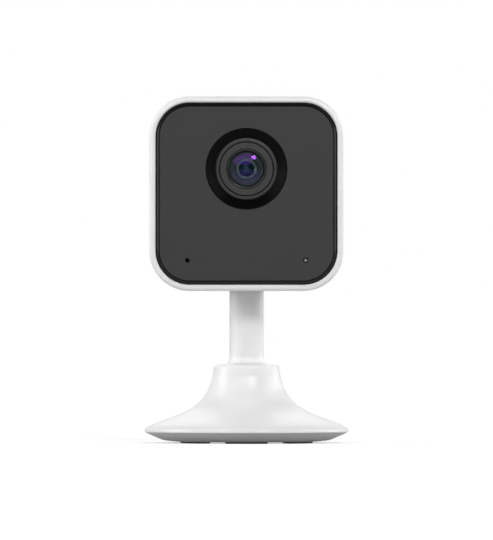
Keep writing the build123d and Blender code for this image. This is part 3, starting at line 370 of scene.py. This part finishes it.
EPOXY = plastic("Chip epoxy", (0.018, 0.018, 0.02), (0.028, 0.028, 0.03),
                roughness=0.6, pits=5200.0, depth=1e-5)
CLEAR_RESIN = plastic("Lamp resin", (0.62, 0.62, 0.52), (0.66, 0.66, 0.6),
                      roughness=0.12, pits=1200.0, depth=2e-6, coat_weight=0.5)
FROSTED = plastic("Frosted light pipe", (0.20, 0.20, 0.205), (0.24, 0.24, 0.245),
                  roughness=0.3, pits=3000.0, depth=4e-6)
FOAM = plastic("Closed foam", (0.03, 0.03, 0.032), (0.05, 0.05, 0.05),
               roughness=0.9, pits=1500.0, depth=8e-5)

FINISHES = {
    WHITE: ["base_shell", "rear_housing", "stem"],
    UNDERSIDE: ["base_plate"],
    GLOSS_BLACK: ["front_frame"],
    CONE_BLACK: ["lens_surround"],
    SMOKED: ["front_window"],
    TRIM_GREY: ["lens_trim_ring", "reset_button"],
    BARREL_FACE: ["lens_barrel"],
    GLOSS_RING: ["lens_front_ring"],
    BAFFLE_COATING: ["lens_baffle"],
    MATTE_BLACK: ["lens_iris", "lens_spacer", "lens_rear_ring", "lens_lock_ring", "lens_holder", "speaker"],
    RUBBER: ["foot_pads", "microphone_boot"],
    FRONT_GLASS: ["lens_front_glass"],
    INNER_GLASS: ["lens_middle_glass", "lens_rear_glass", "sensor_glass"],
    FILTER_GLASS: ["infrared_filter"],
    BOARD: ["main_board", "front_board"],
    STEEL: ["hinge_pin", "hinge_clips", "swivel_washer", "weight_plate"],
    ZINC: ["base_screws", "swivel_screw", "housing_screws", "board_screws", "holder_screws",
           "front_board_screws"],
    ALUMINIUM: ["heat_sink"],
    TINPLATE: ["radio_shield", "antenna", "card_socket", "power_inlet", "microphone"],
    BRASS: ["stem_insert"],
    ACETAL: ["collar_bush", "friction_washers"],
    HEAT_PAD: ["heat_pad"],
    EPOXY: ["processor", "memory_chip", "image_sensor", "reset_switch"],
    CLEAR_RESIN: ["infrared_lamps", "light_sensor", "indicator_lamp"],
    FROSTED: ["light_pipe"],
    FOAM: ["speaker_gasket"],
}

for finish, names in FINISHES.items():
    for name in names:
        mesh = nodes[name].data
        mesh.materials.clear()
        mesh.materials.append(finish)


# ------------------------------------------------------------------ added pieces
def head_piece(name, shape, material, smooth=True):
    """Piece of the head made from a finished shape."""
    mesh = bpy.data.meshes.new(name)
    shape.to_mesh(mesh)
    shape.free()
    if smooth:
        mesh.shade_smooth()
    mesh.materials.append(material)
    piece = bpy.data.objects.new(name, mesh)
    bpy.context.scene.collection.objects.link(piece)
    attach(piece, "head")


def circle(shape, centre, radius, y, sides):
    """Corners of a circle about the front-to-back line through the centre (x, z)."""
    angles = [2 * math.pi * side / sides for side in range(sides)]
    return [
        shape.verts.new((centre[0] + radius * math.sin(angle), y, centre[1] + radius * math.cos(angle)))
        for angle in angles
    ]


def join_circles(shape, one, other):
    """Strip of faces between two circles."""
    for here in range(len(one)):
        after = (here + 1) % len(one)
        shape.faces.new((one[here], other[here], other[after], one[after]))


def domed_disc(centre, radius, y, rim_shift, rings, sides):
    """Shape of a round sheet with its middle at y; the rim lies at y plus rim_shift."""
    shape = bmesh.new()
    hub = shape.verts.new((centre[0], y, centre[1]))
    circles = []
    for ring in range(1, rings + 1):
        part = ring / rings
        circles.append(circle(shape, centre, radius * part, y + rim_shift * part ** 2, sides))
    first = circles[0]
    for here in range(sides):
        shape.faces.new((hub, first[here], first[(here + 1) % sides]))
    for inner, outer in zip(circles, circles[1:]):
        join_circles(shape, inner, outer)
    bmesh.ops.recalc_face_normals(shape, faces=shape.faces)
    return shape


def speaker_mesh():
    """Domed cloth disc stretched just behind the grille's holes."""
    gasket_edge, gap, crown, thickness = 0.0022, 0.00018, 0.00012, 0.00008
    low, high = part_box("speaker_gasket")
    centre, radius = (0.0, (low.z + high.z) / 2), (high.z - low.z) / 2 - gasket_edge
    shape = domed_disc(centre, radius, high.y - gap, -crown, rings=8, sides=64)
    bmesh.ops.solidify(shape, geom=shape.faces[:], thickness=thickness)
    head_piece("speaker_mesh", shape, CLOTH)


def inlet_contacts():
    """Five gold contacts with rounded noses under the inlet's tongue."""
    count, pitch = 5, 0.00065
    half_width, thickness = 0.0002, 0.00005
    narrow = 0.7                                    # width of the lower face, as a share of the upper one's
    under_centre, drop = 0.00011, 0.00006
    depths = (0.0011, 0.0013, 0.0042, 0.0044)       # inward from the inlet's mouth, nose to tail
    drops = (0.0, drop, drop, 0.0)
    section = ((-1, 0.0), (1, 0.0), (narrow, thickness), (-narrow, thickness))
    low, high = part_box("power_inlet")
    centre_x, centre_z = (low.x + high.x) / 2, (low.z + high.z) / 2
    shape = bmesh.new()
    for number in range(count):
        x = centre_x + (number - (count - 1) / 2) * pitch
        sections = []
        for depth, lowered in zip(depths, drops):
            top = centre_z - under_centre - lowered
            sections.append([
                shape.verts.new((x + side * half_width, high.y - depth, top - down))
                for side, down in section
            ])
        for one, other in zip(sections, sections[1:]):
            for here in range(len(section)):
                after = (here + 1) % len(section)
                shape.faces.new((one[here], one[after], other[after], other[here]))
        shape.faces.new(sections[0])
        shape.faces.new(sections[-1][::-1])
    bmesh.ops.recalc_face_normals(shape, faces=shape.faces)
    head_piece("inlet_contacts", shape, GOLD, smooth=False)


def microphone_cloth():
    """Round of open weave over the microphone's port, slightly domed."""
    radius, gap, crown = 0.00075, 0.00008, 0.00006
    low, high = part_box("microphone_boot")
    centre = ((low.x + high.x) / 2, (low.z + high.z) / 2)
    shape = domed_disc(centre, radius, low.y - gap, crown, rings=3, sides=32)
    head_piece("microphone_cloth", shape, CLOTH)


def lens_ring(name, profile, material, sides=96):
    """Ring turned about the lens axis from the (radius, y) corners of a closed outline."""
    shape = bmesh.new()
    circles = [circle(shape, (0.0, LENS_HEIGHT), radius, y, sides) for radius, y in profile]
    for one, other in zip(circles, circles[1:] + circles[:1]):
        join_circles(shape, one, other)
    bmesh.ops.recalc_face_normals(shape, faces=shape.faces)
    head_piece(name, shape, material)


def lens_corners(name):
    """Distance from the lens axis, and y, of each corner of a turned node."""
    corners = [vertex.co for vertex in nodes[name].data.vertices]
    return [(math.hypot(corner.x, corner.z - LENS_HEIGHT), corner.y) for corner in corners]


SAME_PLACE = 0.00001        # corners this near to each other count as level


def baffle_lip():
    """Bright bevel, slightly crowned, on the widened mouth of the baffle's bore."""
    film, crown, steps = 0.00003, 0.00005, 6
    corners = lens_corners("lens_baffle")
    front = min(y for _, y in corners)
    mouth = min(radius for radius, y in corners if y < front + SAME_PLACE)
    bore = min(radius for radius, _ in corners)
    deep = min(y for radius, y in corners if radius < bore + SAME_PLACE)
    outer, inner = [], []
    for step in range(steps + 1):
        part = step / steps
        radius, y = mouth + (bore - mouth) * part, front + (deep - front) * part
        lift = crown * math.sin(math.pi * part)
        outer.append((radius - film - lift, y))
        inner.append((radius - film / 3, y))
    lens_ring("lens_baffle_lip", outer + inner[::-1], BAFFLE_LIP)


def lens_edge_ink():
    """Film of dark ink on the front glass's flat back, round its dished middle."""
    margin, gap, film = 0.00005, 0.00004, 0.00002
    corners = lens_corners("lens_front_glass")
    back = max(y for _, y in corners)
    dish = min(radius for radius, y in corners if y > back - SAME_PLACE) + margin
    edge = max(radius for radius, _ in corners) - margin
    near, far = back - gap, back - gap - film
    lens_ring("lens_edge_ink", [(dish, far), (edge, far), (edge, near), (dish, near)], LENS_INK)


speaker_mesh()
inlet_contacts()
microphone_cloth()
baffle_lip()
lens_edge_ink()


# ------------------------------------------------------------------ floor, light and camera
MIRRORED_FLOOR = 0.4        # the lamps light the floor as well, so mirrors see about white
AMBIENT = 0.06              # share of the surroundings that lights plain surfaces
FRONT_LEVEL = 0.15          # level of the surroundings in front
OVERHEAD_LEVEL = 0.12       # level of the surroundings overhead
CAMERA_DISTANCE = 4.0
FIELD_WIDTH = 0.15367       # width that the view takes in at the stem, in metres


def reflected_ray(tree, path):
    """1 for a ray that comes from a mirror or through glass, and 0 for any other."""
    return math_node(tree, "MAXIMUM", path.outputs["Is Glossy Ray"], path.outputs["Is Transmission Ray"])


def floor():
    """Large pale floor that keeps the shadow and shows as white."""
    half = 6.0
    corners = [(-half, -half, 0), (half, -half, 0), (half, half, 0), (-half, half, 0)]
    mesh = bpy.data.meshes.new("floor")
    mesh.from_pydata(corners, [], [(0, 1, 2, 3)])
    plane = bpy.data.objects.new("floor", mesh)
    bpy.context.scene.collection.objects.link(plane)
    material, tree, shader = start_material(
        "Pale floor", base_color=(0.62, 0.62, 0.62, 1), roughness=0.9, specular_ior_level=0.0,
        emission_color=(1, 1, 1, 1),
    )
    path = tree.nodes.new("ShaderNodeLightPath")
    distance = add_node(tree, "ShaderNodeVectorMath", operation="LENGTH")
    tree.links.new(object_place(tree), distance.inputs[0])
    # Near the base the floor glows less, which leaves room for the shadow.
    rise = add_node(tree, "ShaderNodeMapRange", from_min=0.06, from_max=0.30, to_min=0.55, to_max=1.0)
    tree.links.new(distance.outputs["Value"], rise.inputs["Value"])
    for_eye = math_node(tree, "MULTIPLY", path.outputs["Is Camera Ray"], rise.outputs["Result"])
    for_mirrors = math_node(tree, "MULTIPLY", reflected_ray(tree, path), MIRRORED_FLOOR)
    glow = math_node(tree, "MAXIMUM", for_eye, for_mirrors)
    tree.links.new(glow, shader.inputs["Emission Strength"])
    mesh.materials.append(material)


def surroundings():
    """White for the eye. Mirrors and glass see white behind, and dim in front and overhead."""
    world = bpy.data.worlds.new("Studio")
    bpy.context.scene.world = world
    world.use_nodes = True
    tree = world.node_tree
    background = tree.nodes["Background"]
    background.inputs["Color"].default_value = (1, 1, 1, 1)
    path = tree.nodes.new("ShaderNodeLightPath")
    eye = path.outputs["Is Camera Ray"]
    mirror = reflected_ray(tree, path)
    rest = math_node(tree, "SUBTRACT", 1.0, math_node(tree, "MAXIMUM", eye, mirror))
    axes = split_axes(tree, tree.nodes.new("ShaderNodeTexCoord").outputs["Generated"])
    overhead = add_node(
        tree, "ShaderNodeMapRange", from_min=0.45, from_max=0.80, to_min=1.0, to_max=OVERHEAD_LEVEL
    )
    ahead = add_node(
        tree, "ShaderNodeMapRange", from_min=-0.85, from_max=-0.10, to_min=FRONT_LEVEL, to_max=1.0
    )
    tree.links.new(axes["Z"], overhead.inputs["Value"])
    tree.links.new(axes["Y"], ahead.inputs["Value"])
    studio = math_node(tree, "MULTIPLY", overhead.outputs["Result"], ahead.outputs["Result"])
    share = math_node(tree, "ADD", mirror, math_node(tree, "MULTIPLY", rest, AMBIENT))
    strength = math_node(tree, "ADD", eye, math_node(tree, "MULTIPLY", studio, share))
    tree.links.new(strength, background.inputs["Strength"])


def soft_lamp(name, place, size, watts, shape="RECTANGLE"):
    """Area lamp of the given width and height, aimed at the middle of the object."""
    data = bpy.data.lights.new(name, "AREA")
    data.shape, data.energy = shape, watts
    data.size, data.size_y = size
    lamp = bpy.data.objects.new(name, data)
    lamp.location = place
    lamp.rotation_mode = "QUATERNION"
    lamp.rotation_quaternion = (MIDDLE - Vector(place)).to_track_quat("-Z", "Y")
    lamp.visible_camera = False
    bpy.context.scene.collection.objects.link(lamp)


floor()
surroundings()
soft_lamp("key_lamp", (0.38, -1.0, 0.675), (0.24, 0.24), 4.8, "ELLIPSE")
soft_lamp("front_softbox", (-0.2, -1.02, 0.654), (1.0, 0.75), 5.4)
soft_lamp("left_strip", (-1.2, -0.6, 0.2), (0.2, 0.5), 0.9)
soft_lamp("right_strip", (1.2, -0.6, 0.2), (0.2, 0.5), 0.8)
soft_lamp("left_lamp", (-1.3, 0.0, 0.2), (0.5, 0.6), 3.5)
soft_lamp("right_lamp", (1.1, 0.6, 0.3), (0.5, 0.6), 3.4)
soft_lamp("left_high_lamp", (-1.1, 0.0, 0.7), (0.6, 0.9), 5.0)
soft_lamp("right_high_lamp", (1.1, 0.0, 0.7), (0.6, 0.9), 4.0)
soft_lamp("back_lamp", (0.0, 1.2, 0.9), (0.8, 0.8), 2.2)

camera_data = bpy.data.cameras.new("camera")
camera_data.sensor_fit = "HORIZONTAL"
camera_data.sensor_width = 36.0
camera_data.lens = camera_data.sensor_width * CAMERA_DISTANCE / FIELD_WIDTH
camera_data.clip_end = 50.0
camera = bpy.data.objects.new("camera", camera_data)
camera.location = (0.0, -CAMERA_DISTANCE, MIDDLE.z)
camera.rotation_euler = (math.pi / 2, 0, 0)
bpy.context.scene.collection.objects.link(camera)
bpy.context.scene.camera = camera
bpy.context.scene.view_settings.view_transform = "Standard"

bpy.context.view_layer.update()
